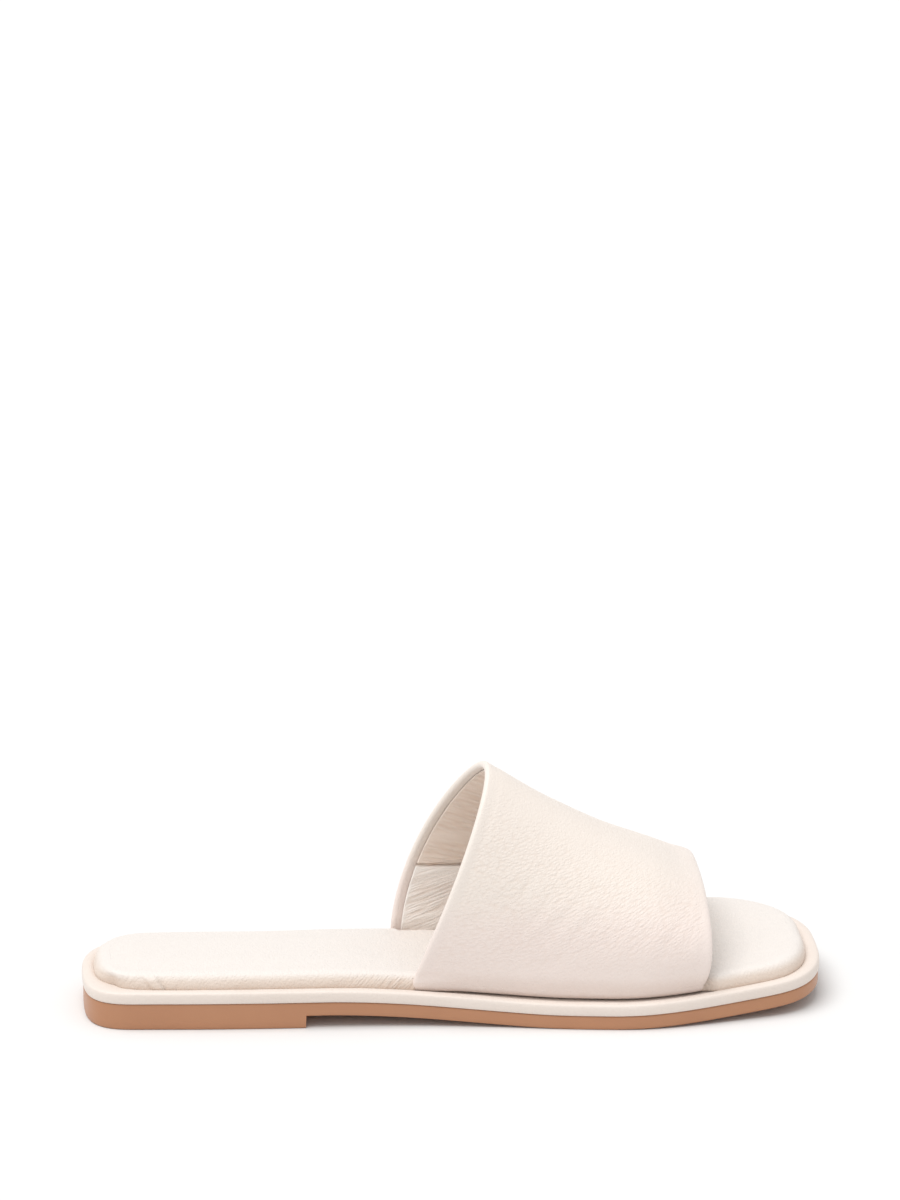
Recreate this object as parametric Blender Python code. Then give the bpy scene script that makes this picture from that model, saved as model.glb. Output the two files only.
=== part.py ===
"""Slide sandal, the right shoe of a women's pair, about EU 38, standing empty on its sole.

One wide leather band crosses a padded footbed. Its ends turn under the footbed, which sits inside
the raised edge of a leather-wrapped midsole, and a moulded outsole carries them all.
The toe points to +X, the inner side of the foot to +Y and the outer side to -Y. The origin is
on the floor, under the middle of the sole. Lengths are in metres.
"""

import math

import bmesh
import bpy
import numpy as np

# Overall sizes
SOLE_LENGTH = 0.260
BALL_WIDTH = 0.0955
HEEL_LIFT = 0.0044
TOE_SPRING = 0.0050
INSTEP_RISE = 0.0727
GAP = 0.0003

# Outsole: its sheet, the heel under it and the arch between heel and tread
OUTSOLE_SHEET = 0.0048
OUTSOLE_INSET = 0.0004
OUTSOLE_BEVEL = 0.0007
HEEL_BREAST = 0.0765
ARCH_START = 0.082
ARCH_END = 0.170
SPRING_START = 0.182
SPRING_POWER = 1.55

# Midsole: a plate with a rounded roll all round it
PLATE_THICKNESS = 0.0029
ROLL_HEIGHT = 0.0041
ROLL_WIDTH = 0.0062

# Footbed: a padded insole inside the roll
FOOTBED_INSET = 0.0053
FOOTBED_THICKNESS = 0.0059
FOOTBED_EDGE = 0.0040
FOOTBED_CROWN = 0.0006
CROWN_REACH = 3.2

# Band: its wall, its bottom corners and the margins that turn under the footbed
BAND_WALL = 0.0026
MARGIN_WALL = 0.0012
MARGIN_REACH = 0.010
BAND_INSET = 0.0068
BAND_TURN = 0.0024
WALL_GROWTH = 0.006
BAND_REAR = 0.1115
BAND_SKEW = 0.0036
BAND_REAR_CROWN = 0.1406
BAND_FRONT = 0.2162
BAND_FRONT_CROWN = 0.2186
BAND_FRONT_BULGE = 0.0017
BAND_SIDE_BULGE = 0.0045
PINCH_REAR = 0.004
PINCH_FRONT = 0.025

# The sole's plan: along as a share of SOLE_LENGTH from the heel, the two sides as shares of
# BALL_WIDTH from the heel's axis
PLAN = [
    # along, lateral, medial
    (0.000, 0.283, 0.288),
    (0.077, 0.294, 0.297),
    (0.154, 0.312, 0.290),
    (0.250, 0.328, 0.273),
    (0.346, 0.338, 0.274),
    (0.442, 0.354, 0.292),
    (0.538, 0.387, 0.346),
    (0.635, 0.431, 0.430),
    (0.731, 0.463, 0.508),
    (0.788, 0.454, 0.540),
    (0.865, 0.413, 0.553),
    (0.942, 0.364, 0.518),
    (1.000, 0.319, 0.480),
]

# How each end of the plan is rounded off: length as a share of SOLE_LENGTH, and the power of
# the curve, where 2 is an ellipse and more is squarer
HEEL_ROUND = {"lateral": (0.085, 3.4), "medial": (0.100, 2.5)}
TOE_ROUND = {"lateral": (0.092, 3.3), "medial": (0.150, 2.2)}

# The roll's section, from the plate's lower edge round to its top: in as a share of
# ROLL_WIDTH, up as a share of ROLL_HEIGHT
ROLL_SECTION = [
    # in, up
    (0.13, 0.00),
    (0.03, 0.14),
    (0.00, 0.38),
    (0.05, 0.64),
    (0.19, 0.88),
    (0.40, 1.00),
    (0.63, 0.95),
    (0.82, 0.82),
]

# The footbed's edge section, from its underside to its top: in as a share of FOOTBED_EDGE,
# up as a share of FOOTBED_THICKNESS
FOOTBED_SECTION = [
    # in, up
    (0.14, 0.00),
    (0.03, 0.10),
    (0.00, 0.26),
    (0.04, 0.46),
    (0.18, 0.68),
    (0.46, 0.86),
    (0.90, 0.96),
    (1.60, 1.00),
]

# The band from its rear edge to its front edge: how high the crown is, as a share of
# INSTEP_RISE, the power of its section, where 2 is an ellipse and more is boxier, how far in
# from the sole's edge it stands, as a share of BAND_INSET, and how far its sides swell out, as
# a share of BAND_SIDE_BULGE
BAND_SECTIONS = [
    # along, rise, power, ledge, bulge
    (0.00, 1.000, 2.25, 0.87, 1.00),
    (0.21, 0.867, 2.26, 1.00, 0.90),
    (0.40, 0.755, 2.30, 1.05, 0.80),
    (0.58, 0.655, 2.38, 1.05, 0.70),
    (0.77, 0.554, 2.50, 1.03, 0.60),
    (0.91, 0.470, 2.60, 0.97, 0.55),
    (1.00, 0.430, 2.60, 0.93, 0.55),
]

# How fast each side of the rear edge leans forward with height
REAR_LEAN_POWER = {"lateral": 1.06, "medial": 1.58}

# The band's folded edges: depth from the edge and thickness there, as shares of BAND_WALL
FOLDED_EDGE = [
    # depth, thickness
    (0.00, 0.40),
    (0.08, 0.68),
    (0.25, 0.90),
    (0.55, 1.00),
]

# Which way along Y each side faces
OUTWARD = {"lateral": -1.0, "medial": 1.0}

# How finely the curved forms are divided
END_STEPS = 12
MIDDLE_STEPS = 26
BAND_STEPS = 12
ARCH_STEPS = 34
TURN_STEPS = 3
STEP_WIDTH = 0.0002

CREAM = (0.830, 0.760, 0.680)
TAN = (0.450, 0.225, 0.115)


def through_table(rows, place, column):
    """The smooth curve through one column of a table, whose first column is the place."""
    places = [row[0] for row in rows]
    values = [row[column] for row in rows]
    last = len(rows) - 1
    place = min(max(place, places[0]), places[-1])
    k = min(max(sum(place >= p for p in places) - 1, 0), last - 1)

    def slope(i):
        low = max(i - 1, 0)
        high = min(i + 1, last)
        return (values[high] - values[low]) / (places[high] - places[low])

    width = places[k + 1] - places[k]
    t = (place - places[k]) / width
    keep = (1 + 2 * t) * (1 - t) ** 2
    reach = t * t * (3 - 2 * t)
    leave = t * (1 - t) ** 2 * width
    arrive = t * t * (t - 1) * width
    return keep * values[k] + reach * values[k + 1] + leave * slope(k) + arrive * slope(k + 1)


def soft_step(t):
    t = min(max(t, 0.0), 1.0)
    return t * t * (3 - 2 * t)


def end_rounding(x, side):
    """The share of the half width that is left at x by the rounded heel and toe."""
    share = 1.0
    for from_end, (length, power) in (
        (x, HEEL_ROUND[side]),
        (SOLE_LENGTH - x, TOE_ROUND[side]),
    ):
        t = 1 - from_end / (length * SOLE_LENGTH)
        if t > 0:
            share *= max(1 - t**power, 0.0) ** (1 / power)
    return share


def plan_y(x, side):
    """How far the sole's edge lies from the heel's axis at x, lateral side negative."""
    lateral = through_table(PLAN, x / SOLE_LENGTH, 1) * BALL_WIDTH
    medial = through_table(PLAN, x / SOLE_LENGTH, 2) * BALL_WIDTH
    middle = (medial - lateral) / 2
    half = (medial + lateral) / 2 * end_rounding(x, side)
    return middle - half if side == "lateral" else middle + half


def arch_lift(x):
    """How far the sheet is raised by the heel, easing to nothing through the arch."""
    return HEEL_LIFT * (1 - soft_step((x - ARCH_START) / (ARCH_END - ARCH_START)))


def toe_lift(x):
    t = max(x - SPRING_START, 0.0) / (SOLE_LENGTH - SPRING_START)
    return TOE_SPRING * t**SPRING_POWER


def outsole_under(x):
    return toe_lift(x) + (arch_lift(x) if x > HEEL_BREAST else 0.0)


def outsole_top(x):
    return OUTSOLE_SHEET + arch_lift(x) + toe_lift(x)


def plate_top(x):
    return outsole_top(x) + GAP + PLATE_THICKNESS


def footbed_seat(x):
    return plate_top(x) + GAP


def footbed_top(x):
    return footbed_seat(x) + FOOTBED_THICKNESS


def sole_stations():
    """The places along the sole where its sections are taken: closer together at the ends,
    one at each end of the flat tread, and a pair where a wall runs straight across."""
    heel = max(length for length, power in HEEL_ROUND.values()) * SOLE_LENGTH
    toe = SOLE_LENGTH * (1 - max(length for length, power in TOE_ROUND.values()))
    quarter = [math.pi / 2 * k / END_STEPS for k in range(1, END_STEPS)]
    places = [heel * (1 - math.cos(angle)) for angle in quarter]
    places += list(np.linspace(heel, toe, MIDDLE_STEPS))
    places += [toe + (SOLE_LENGTH - toe) * math.sin(angle) for angle in quarter]
    bends = {ARCH_END: 0.0, SPRING_START: 0.0, HEEL_BREAST: STEP_WIDTH}
    for side in ("lateral", "medial"):
        bends.update({end: STEP_WIDTH for end in recess_ends(side)})
    for bend, apart in bends.items():
        places = [place for place in places if abs(place - bend) > 5 * STEP_WIDTH]
        places += {bend - apart / 2, bend + apart / 2}
    return sorted(places)


def rear_of(side):
    """Where the band's rear edge leaves the sole: further back on the medial side."""
    return BAND_REAR + (BAND_SKEW / 2 if side == "lateral" else -BAND_SKEW / 2)


def recess_ends(side):
    """Where the footbed's underside is cut back for the band's margin."""
    return rear_of(side) - GAP, BAND_FRONT + GAP


def in_recess(place, side):
    rear, front = recess_ends(side)
    return rear < place < front


def outline():
    """The sole's edge as a closed ring from the heel's tip along the lateral side to the toe's
    tip and back: each point's place and side, the points, and the directions inward."""
    stations = sole_stations()
    ring = [(place, "lateral") for place in [0.0, *stations, SOLE_LENGTH]]
    ring += [(place, "medial") for place in reversed(stations)]
    points = np.array([(place, plan_y(place, side)) for place, side in ring])
    return ring, points, inward_directions(points)


def inward_directions(points):
    """The unit direction into a ring that runs anticlockwise, at each of its points."""
    ahead = np.roll(points, -1, axis=0) - points
    ahead /= np.linalg.norm(ahead, axis=1)[:, None]
    along = ahead + np.roll(ahead, 1, axis=0)
    along /= np.linalg.norm(along, axis=1)[:, None]
    return np.column_stack([-along[:, 1], along[:, 0]])


RING, EDGE, INWARD = outline()
MIDDLE = (EDGE.min(axis=0) + EDGE.max(axis=0)) / 2


def ring_at(inset, height):
    """The sole's edge moved in, with both the inset and the height given by place and side."""
    flat = EDGE + INWARD * np.array([inset(*at) for at in RING])[:, None]
    return np.column_stack([flat - MIDDLE, [height(*at) for at in RING]])


def sole_solid(name, rings, material):
    """A solid from rings that run from its underside, round its edge and to its top. Each end
    is closed by strips across the sole."""
    count = len(rings[0])
    half = count // 2
    mesh = bmesh.new()
    rows = [[mesh.verts.new(point) for point in ring] for ring in rings]
    for low, high in zip(rows, rows[1:]):
        for k in range(count):
            after = (k + 1) % count
            mesh.faces.new((low[k], low[after], high[after], high[k]))
    for row, outward in ((rows[0], -1), (rows[-1], 1)):
        for k in range(half):
            strip = [row[k], row[k + 1], row[count - k - 1], row[(count - k) % count]]
            corners = list(dict.fromkeys(strip))
            mesh.faces.new(corners if outward > 0 else corners[::-1])
    return finished(name, mesh, material)


def finished(name, mesh, material):
    bmesh.ops.triangulate(mesh, faces=mesh.faces)
    data = bpy.data.meshes.new(name)
    mesh.to_mesh(data)
    mesh.free()
    data.shade_smooth()
    data.set_sharp_from_angle(angle=math.radians(40))
    data.materials.append(material)
    made = bpy.data.objects.new(name, data)
    bpy.context.scene.collection.objects.link(made)
    return made


def plain_material(name, color, roughness):
    material = bpy.data.materials.new(name)
    material.use_nodes = True
    shader = material.node_tree.nodes["Principled BSDF"]
    shader.inputs["Base Color"].default_value = (*color, 1.0)
    shader.inputs["Roughness"].default_value = roughness
    shader.inputs["Metallic"].default_value = 0.0
    return material


def outsole():
    """Sheet and heel in one moulding, with a narrow bevel along its lower edge."""
    rings = [
        ring_at(
            lambda place, side: OUTSOLE_INSET + OUTSOLE_BEVEL,
            lambda place, side: outsole_under(place),
        ),
        ring_at(
            lambda place, side: OUTSOLE_INSET,
            lambda place, side: outsole_under(place) + OUTSOLE_BEVEL,
        ),
        ring_at(
            lambda place, side: OUTSOLE_INSET,
            lambda place, side: outsole_top(place),
        ),
    ]
    return sole_solid("outsole", rings, plain_material("outsole_rubber", TAN, 0.45))


def midsole():
    """The wrapped plate under the footbed and the roll that stands round it."""
    rings = [
        ring_at(
            lambda place, side, share=share: share * ROLL_WIDTH,
            lambda place, side, up=up: outsole_top(place) + GAP + up * ROLL_HEIGHT,
        )
        for share, up in ROLL_SECTION
    ]
    rings.append(ring_at(lambda place, side: ROLL_WIDTH, lambda place, side: plate_top(place)))
    return sole_solid("midsole", rings, plain_material("midsole_leather", CREAM, 0.5))


def band_inset(place, side):
    """How far in from the sole's edge the middle of the band's wall stands."""
    along = (place - rear_of(side)) / (BAND_FRONT - rear_of(side))
    return BAND_INSET * through_table(BAND_SECTIONS, along, 3)


def footbed_inset(place, side):
    """How far in from the sole's edge the footbed's side stands: further where the band's wall
    presses it in."""
    taken = band_inset(place, side) + BAND_WALL / 2 + GAP - FOOTBED_INSET
    rear = soft_step((place - rear_of(side)) / PINCH_REAR + 1)
    front = soft_step((BAND_FRONT - place) / PINCH_FRONT + 1)
    return FOOTBED_INSET + max(taken, 0.0) * rear * front


def footbed_under(place, side):
    return footbed_seat(place) + (MARGIN_WALL + GAP if in_recess(place, side) else 0.0)


def recess_inset(place, side):
    """How far in the cut for the band's margin reaches. Elsewhere the ring runs just inside."""
    if in_recess(place, side):
        return band_inset(place, side) + BAND_TURN + MARGIN_REACH + GAP
    return footbed_inset(place, side) + FOOTBED_EDGE


def footbed():
    """The padded insole. Its underside is cut back where the band's margins lie under it."""

    def level(up):
        def height(place, side):
            under = footbed_under(place, side)
            return under + up * (footbed_top(place) - under)

        return height

    def moved_in(share):
        return lambda place, side: footbed_inset(place, side) + share * FOOTBED_EDGE

    rings = [
        ring_at(
            lambda place, side: recess_inset(place, side) + STEP_WIDTH,
            lambda place, side: footbed_seat(place),
        ),
        ring_at(recess_inset, footbed_under),
    ]
    rings += [ring_at(moved_in(share), level(up)) for share, up in FOOTBED_SECTION]
    rings.append(
        ring_at(moved_in(CROWN_REACH), lambda place, side: footbed_top(place) + FOOTBED_CROWN)
    )
    return sole_solid("footbed", rings, plain_material("footbed_leather", CREAM, 0.55))


def edge_point(place, side, inset):
    """A point of the plan, moved in from the sole's edge by an inset."""
    small = 0.0005
    here = np.array([place, plan_y(place, side)])
    along = np.array([2 * small, plan_y(place + small, side) - plan_y(place - small, side)])
    along /= np.linalg.norm(along)
    inward = -OUTWARD[side] * np.array([-along[1], along[0]])
    return here + inward * inset - MIDDLE


def band_foot(place, side):
    """One bottom corner of the band, from its margin's end up to the foot of its wall."""
    seat = footbed_seat(place) + MARGIN_WALL / 2
    centre_in = band_inset(place, side) + BAND_TURN
    path = [(centre_in + MARGIN_REACH, seat), (centre_in + MARGIN_REACH / 2, seat)]
    for k in range(TURN_STEPS + 1):
        angle = math.pi / 2 * k / TURN_STEPS
        path.append(
            (
                centre_in - BAND_TURN * math.sin(angle),
                seat + BAND_TURN * (1 - math.cos(angle)),
            )
        )
    return [np.array([*edge_point(place, side, inset), up]) for inset, up in path]


def wall_at(height):
    """The band's thickness at a height over the foot of its wall."""
    return MARGIN_WALL + (BAND_WALL - MARGIN_WALL) * soft_step(height / WALL_GROWTH)


def rear_edge(rise, side):
    """How far the rear edge has come forward at a share of the band's rise."""
    return (BAND_REAR_CROWN - BAND_REAR) * rise ** REAR_LEAN_POWER[side]


def front_edge(rise):
    bulge = BAND_FRONT_BULGE * math.sin(math.pi * rise**0.7)
    return (BAND_FRONT_CROWN - BAND_FRONT) * rise + bulge


def band_row(along):
    """One section of the band, from margin end to margin end: its middle line and its wall."""
    rise = INSTEP_RISE * through_table(BAND_SECTIONS, along, 1) - BAND_TURN
    power = 2 / through_table(BAND_SECTIONS, along, 2)
    bulge = BAND_SIDE_BULGE * through_table(BAND_SECTIONS, along, 4)
    lateral, medial = (
        band_foot(rear_of(side) + along * (BAND_FRONT - rear_of(side)), side)
        for side in ("lateral", "medial")
    )
    walls = [MARGIN_WALL] * len(lateral)
    start, end = lateral[-1], medial[-1]
    points = list(lateral)
    for k in range(1, ARCH_STEPS):
        angle = math.pi * k / ARCH_STEPS
        side = "lateral" if k < ARCH_STEPS / 2 else "medial"
        across = 0.5 - 0.5 * math.copysign(abs(math.cos(angle)) ** power, math.cos(angle))
        height = math.sin(angle) ** power
        point = start + (end - start) * across
        point[0] += rear_edge(height, side) * (1 - along) + front_edge(height) * along
        point[1] += OUTWARD[side] * bulge * math.sin(math.pi * height)
        point[2] += rise * height
        points.append(point)
        walls.append(wall_at(rise * height))
    points += medial[::-1]
    walls += [MARGIN_WALL] * len(medial)
    return np.array(points), np.array(walls)


def band_rows():
    """Where the band's sections are taken, as (along share, thickness share)."""
    length = BAND_FRONT - BAND_REAR
    rows = [(depth * BAND_WALL / length, thick) for depth, thick in FOLDED_EDGE]
    inner = [(k / BAND_STEPS, 1.0) for k in range(1, BAND_STEPS)]
    return rows + inner + [(1 - along, thick) for along, thick in reversed(rows)]


def upper_band():
    """The band as one wall, thin where it turns under the footbed and rounded at its two
    folded edges."""
    sections = [(band_row(along), thick) for along, thick in band_rows()]
    middle = np.array([points for (points, walls), thick in sections])
    half = np.array([walls * thick / 2 for (points, walls), thick in sections])
    along = np.gradient(middle, axis=0)
    around = np.gradient(middle, axis=1)
    outward = np.cross(along, around)
    outward /= -np.linalg.norm(outward, axis=2)[:, :, None]
    outer = middle + outward * half[:, :, None]
    inner = middle - outward * half[:, :, None]
    mesh = bmesh.new()
    sheets = [[[mesh.verts.new(p) for p in row] for row in sheet] for sheet in (outer, inner)]
    rows, columns = middle.shape[:2]
    for skin, sheet in enumerate(sheets):
        for i in range(rows - 1):
            for k in range(columns - 1):
                corners = [sheet[i][k], sheet[i + 1][k], sheet[i + 1][k + 1], sheet[i][k + 1]]
                mesh.faces.new(corners[::-1] if skin == 0 else corners)
    border = [(0, k) for k in range(columns)]
    border += [(i, columns - 1) for i in range(1, rows)]
    border += [(rows - 1, k) for k in range(columns - 2, -1, -1)]
    border += [(i, 0) for i in range(rows - 2, 0, -1)]
    for here, after in zip(border, border[1:] + border[:1]):
        a, b = (sheets[0][i][k] for i, k in (here, after))
        d, c = (sheets[1][i][k] for i, k in (here, after))
        mesh.faces.new((a, b, c, d)[::-1])
    return finished("upper_band", mesh, plain_material("band_leather", CREAM, 0.5))


for old in list(bpy.data.objects):
    bpy.data.objects.remove(old, do_unlink=True)

outsole()
midsole()
footbed()
upper_band()
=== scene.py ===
import math

import bpy
import numpy as np
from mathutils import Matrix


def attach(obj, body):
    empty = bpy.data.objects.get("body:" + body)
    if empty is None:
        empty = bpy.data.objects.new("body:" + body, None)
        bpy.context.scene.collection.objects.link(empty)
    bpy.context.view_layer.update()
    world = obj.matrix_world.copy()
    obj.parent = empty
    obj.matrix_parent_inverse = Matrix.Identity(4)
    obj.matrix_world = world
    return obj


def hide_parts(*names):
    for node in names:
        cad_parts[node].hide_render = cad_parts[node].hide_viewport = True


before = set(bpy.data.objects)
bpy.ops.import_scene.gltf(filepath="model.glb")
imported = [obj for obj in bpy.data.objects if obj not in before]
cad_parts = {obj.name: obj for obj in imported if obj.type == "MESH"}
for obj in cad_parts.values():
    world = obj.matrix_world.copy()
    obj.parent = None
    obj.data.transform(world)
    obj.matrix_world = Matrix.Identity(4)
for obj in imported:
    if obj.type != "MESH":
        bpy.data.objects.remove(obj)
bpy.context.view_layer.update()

# Camera: just behind the shoe's middle and 20 degrees above it, with a long lens, as a product
# photograph is taken. The shoe stands low in an upright frame, so the camera looks down less.
PICTURE_HEIGHT_PX = 1200
FOCAL_LENGTH_PX = 5670
SENSOR_MM = 36
LOOK_DOWN_DEG = 16.9
TURN_DEG = -5.4
CAMERA_PLACE = (-0.1769, -1.8710, 0.7140)

camera_data = bpy.data.cameras.new("camera")
camera_data.sensor_width = SENSOR_MM
camera_data.lens = FOCAL_LENGTH_PX / PICTURE_HEIGHT_PX * SENSOR_MM
camera_data.clip_start = 0.1
camera_data.clip_end = 50
camera = bpy.data.objects.new("camera", camera_data)
camera.location = CAMERA_PLACE
camera.rotation_euler = (math.radians(90 - LOOK_DOWN_DEG), 0, math.radians(TURN_DEG))
bpy.context.scene.collection.objects.link(camera)
bpy.context.scene.camera = camera
bpy.context.scene.view_settings.view_transform = "Standard"


# Studio: a wide sheet of white paper in an even white room, with one broad soft key light high
# over the camera's side. The paper is burnt out to white, as in a catalogue picture.
FLOOR_SIZE = 16.0
ROOM_STRENGTH = 0.72
KEY_STRENGTH = 2.0
KEY_SPREAD_DEG = 50
KEY_FROM = (-0.28, -0.13, 1.0)
PAPER_CLOUDS_PER_M = 0.7


def linear(hex_color):
    """An sRGB hex colour as the linear colour that a shader takes."""
    parts = [int(hex_color[k : k + 2], 16) / 255 for k in (1, 3, 5)]
    return (*[c / 12.92 if c <= 0.04045 else ((c + 0.055) / 1.055) ** 2.4 for c in parts], 1.0)


def add_node(tree, kind, inputs=(), **settings):
    """A node with its settings. An input is a value, or the socket that is linked to it."""
    node = tree.nodes.new(kind)
    for name, value in settings.items():
        setattr(node, name, value)
    for key, value in dict(inputs).items():
        if isinstance(value, bpy.types.NodeSocket):
            tree.links.new(value, node.inputs[key])
        else:
            node.inputs[key].default_value = value
    return node


def new_material(name, **shader_inputs):
    """A material and its node tree, with the constant values set on the shader itself."""
    material = bpy.data.materials.new(name)
    material.use_nodes = True
    shader = material.node_tree.nodes["Principled BSDF"]
    for key, value in shader_inputs.items():
        shader.inputs[key.replace("_", " ")].default_value = value
    return material, material.node_tree, shader


def make_object(name, points, faces, material):
    """A smooth-shaded mesh object at the origin, with its place in its points."""
    mesh = bpy.data.meshes.new(name)
    mesh.from_pydata(np.asarray(points).tolist(), [], faces)
    mesh.shade_smooth()
    mesh.materials.append(material)
    made = bpy.data.objects.new(name, mesh)
    bpy.context.scene.collection.objects.link(made)
    return made


# White background paper: matt, with the faintest grey cloud in it.
paper, tree, shader = new_material("white_background_paper", Roughness=0.9)
place = add_node(tree, "ShaderNodeTexCoord")
cloud = add_node(
    tree, "ShaderNodeTexNoise", {"Vector": place.outputs["Object"], "Scale": PAPER_CLOUDS_PER_M}
)
tone = add_node(
    tree,
    "ShaderNodeMix",
    {0: cloud.outputs["Fac"], 6: linear("#E4E4E3"), 7: linear("#E8E8E8")},
    data_type="RGBA",
)
tree.links.new(tone.outputs[2], shader.inputs["Base Color"])
half = FLOOR_SIZE / 2
corners = [(-half, -half, 0), (half, -half, 0), (half, half, 0), (-half, half, 0)]
floor = make_object("paper_floor", corners, [(0, 1, 2, 3)], paper)

world = bpy.data.worlds.new("white_studio")
world.use_nodes = True
world.node_tree.nodes["Background"].inputs["Color"].default_value = (1, 1, 1, 1)
world.node_tree.nodes["Background"].inputs["Strength"].default_value = ROOM_STRENGTH
bpy.context.scene.world = world

key = bpy.data.lights.new("key_light", "SUN")
key.energy = KEY_STRENGTH
key.angle = math.radians(KEY_SPREAD_DEG)
key_object = bpy.data.objects.new("key_light", key)
key_object.location = KEY_FROM
key_object.rotation_euler = key_object.location.to_track_quat("Z", "Y").to_euler()
bpy.context.scene.collection.objects.link(key_object)


# Outsole: one moulding of tan thermoplastic rubber, a 4.8 mm sheet with the low heel in one,
# cemented under the midsole. Its lower edge has a narrow bevel, and its underside a sunk field
# with fine cross ribs for grip.
SOLE_LENGTH = 0.260
BALL_WIDTH = 0.0955
HEEL_LIFT = 0.0044
TOE_SPRING = 0.0050
SPRING_START = 0.182
SPRING_POWER = 1.55
OUTSOLE_SHEET = 0.0048
OUTSOLE_INSET = 0.0004
OUTSOLE_BEVEL = 0.0007
HEEL_BREAST = 0.0765
BREAST_SLOPE = 0.0002
ARCH_START = 0.082
ARCH_END = 0.170
RING_POINTS = 1200
PLAN = [
    # along, lateral, medial
    (0.000, 0.283, 0.288),
    (0.077, 0.294, 0.297),
    (0.154, 0.312, 0.290),
    (0.250, 0.328, 0.273),
    (0.346, 0.338, 0.274),
    (0.442, 0.354, 0.292),
    (0.538, 0.387, 0.346),
    (0.635, 0.431, 0.430),
    (0.731, 0.463, 0.508),
    (0.788, 0.454, 0.540),
    (0.865, 0.413, 0.553),
    (0.942, 0.364, 0.518),
    (1.000, 0.319, 0.480),
]
HEEL_ROUND = {-1: (0.085, 3.4), 1: (0.100, 2.5)}
TOE_ROUND = {-1: (0.092, 3.3), 1: (0.150, 2.2)}
TREAD_BORDER = 0.0065
TREAD_DEPTH = 0.0006
TREAD_SLOPE = 0.0012
TREAD_COLUMNS = 48
TOP_EDGE = 0.0002
FLOW_CLOUDS_PER_M = 55.0
MOULD_TEXTURE = 0.0009
RIB_SPACING = 0.0042
RIB_WIDTH = 0.0022
RIB_ROOT = 0.0002
RIB_END_GAP = 0.0016
RIB_SHORTEST = 0.006
FIRST_RIB = 0.010
LAST_RIB_FROM_TOE = 0.008


def through_table(rows, place, column):
    """The smooth curve through one column of a table, whose first column is the place."""
    table = np.array(rows)
    places, values = table[:, 0], table[:, column]
    steps = np.arange(len(places))
    low, high = np.maximum(steps - 1, 0), np.minimum(steps + 1, len(places) - 1)
    slopes = (values[high] - values[low]) / (places[high] - places[low])
    place = np.clip(place, places[0], places[-1])
    k = np.clip(np.searchsorted(places, place, side="right") - 1, 0, len(places) - 2)
    width = places[k + 1] - places[k]
    t = (place - places[k]) / width
    keep = (1 + 2 * t) * (1 - t) ** 2 * values[k]
    reach = t * t * (3 - 2 * t) * values[k + 1]
    bend = t * (1 - t) * ((1 - t) * slopes[k] - t * slopes[k + 1]) * width
    return keep + reach + bend


def soft_step(t):
    t = np.clip(t, 0.0, 1.0)
    return t * t * (3 - 2 * t)


def soft_noise(x, y, seed):
    """Smooth noise from -1 to 1 over a plane, with one bump to each unit of length."""
    lattice = np.random.default_rng(seed).uniform(-1, 1, (64, 64))
    i, j = np.floor(x).astype(int), np.floor(y).astype(int)
    s, t = soft_step(x - i), soft_step(y - j)
    rows = [lattice[(i + a) % 64, j % 64] * (1 - t) + lattice[(i + a) % 64, (j + 1) % 64] * t
            for a in (0, 1)]
    return rows[0] * (1 - s) + rows[1] * s


def plan_y(x, side):
    """The sole's edge at x, from the heel's axis. side is -1 for lateral and 1 for medial."""
    lateral = through_table(PLAN, x / SOLE_LENGTH, 1) * BALL_WIDTH
    medial = through_table(PLAN, x / SOLE_LENGTH, 2) * BALL_WIDTH
    share = 1.0
    for from_end, (length, power) in ((x, HEEL_ROUND[side]), (SOLE_LENGTH - x, TOE_ROUND[side])):
        t = np.clip(1 - from_end / (length * SOLE_LENGTH), 0, 1)
        share = share * np.maximum(1 - t**power, 0) ** (1 / power)
    return (medial - lateral) / 2 + side * (medial + lateral) / 2 * share


def arch_lift(x):
    return HEEL_LIFT * (1 - soft_step((x - ARCH_START) / (ARCH_END - ARCH_START)))


def toe_lift(x):
    return TOE_SPRING * (np.maximum(x - SPRING_START, 0) / (SOLE_LENGTH - SPRING_START)) ** SPRING_POWER


def outsole_under(x):
    return toe_lift(x) + np.where(x > HEEL_BREAST, arch_lift(x), 0.0)


def outsole_top(x):
    return OUTSOLE_SHEET + arch_lift(x) + toe_lift(x)


def even_places(side):
    """Places along one side, evenly spaced round the edge, with a pair at the heel's breast."""
    x = SOLE_LENGTH * (1 - np.cos(np.linspace(0, math.pi, 8001))) / 2
    run = np.hypot(np.diff(x), np.diff(plan_y(x, side)))
    length = np.concatenate([[0], np.cumsum(run)])
    breast = np.interp(HEEL_BREAST, x, length)
    heel_steps = round(RING_POINTS / 2 * HEEL_BREAST / SOLE_LENGTH)
    heel = np.interp(np.linspace(0, breast, heel_steps + 1), length, x)
    rest = np.interp(np.linspace(breast, length[-1], RING_POINTS // 2 - heel_steps), length, x)
    heel[-1] -= BREAST_SLOPE / 2
    rest[0] += BREAST_SLOPE / 2
    return np.concatenate([heel, rest])


lateral_places, medial_places = even_places(-1), even_places(1)
PLACES = np.concatenate([lateral_places, medial_places[-2:0:-1]])
SIDES = np.where(np.arange(RING_POINTS) <= RING_POINTS // 2, -1, 1)
EDGE = np.column_stack([PLACES, np.where(SIDES < 0, plan_y(PLACES, -1), plan_y(PLACES, 1))])
ahead = np.roll(EDGE, -1, axis=0) - EDGE
ahead /= np.linalg.norm(ahead, axis=1)[:, None]
ahead += np.roll(ahead, 1, axis=0)
ahead /= np.linalg.norm(ahead, axis=1)[:, None]
INWARD = np.column_stack([-ahead[:, 1], ahead[:, 0]])
MIDDLE = (EDGE.min(axis=0) + EDGE.max(axis=0)) / 2


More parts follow.
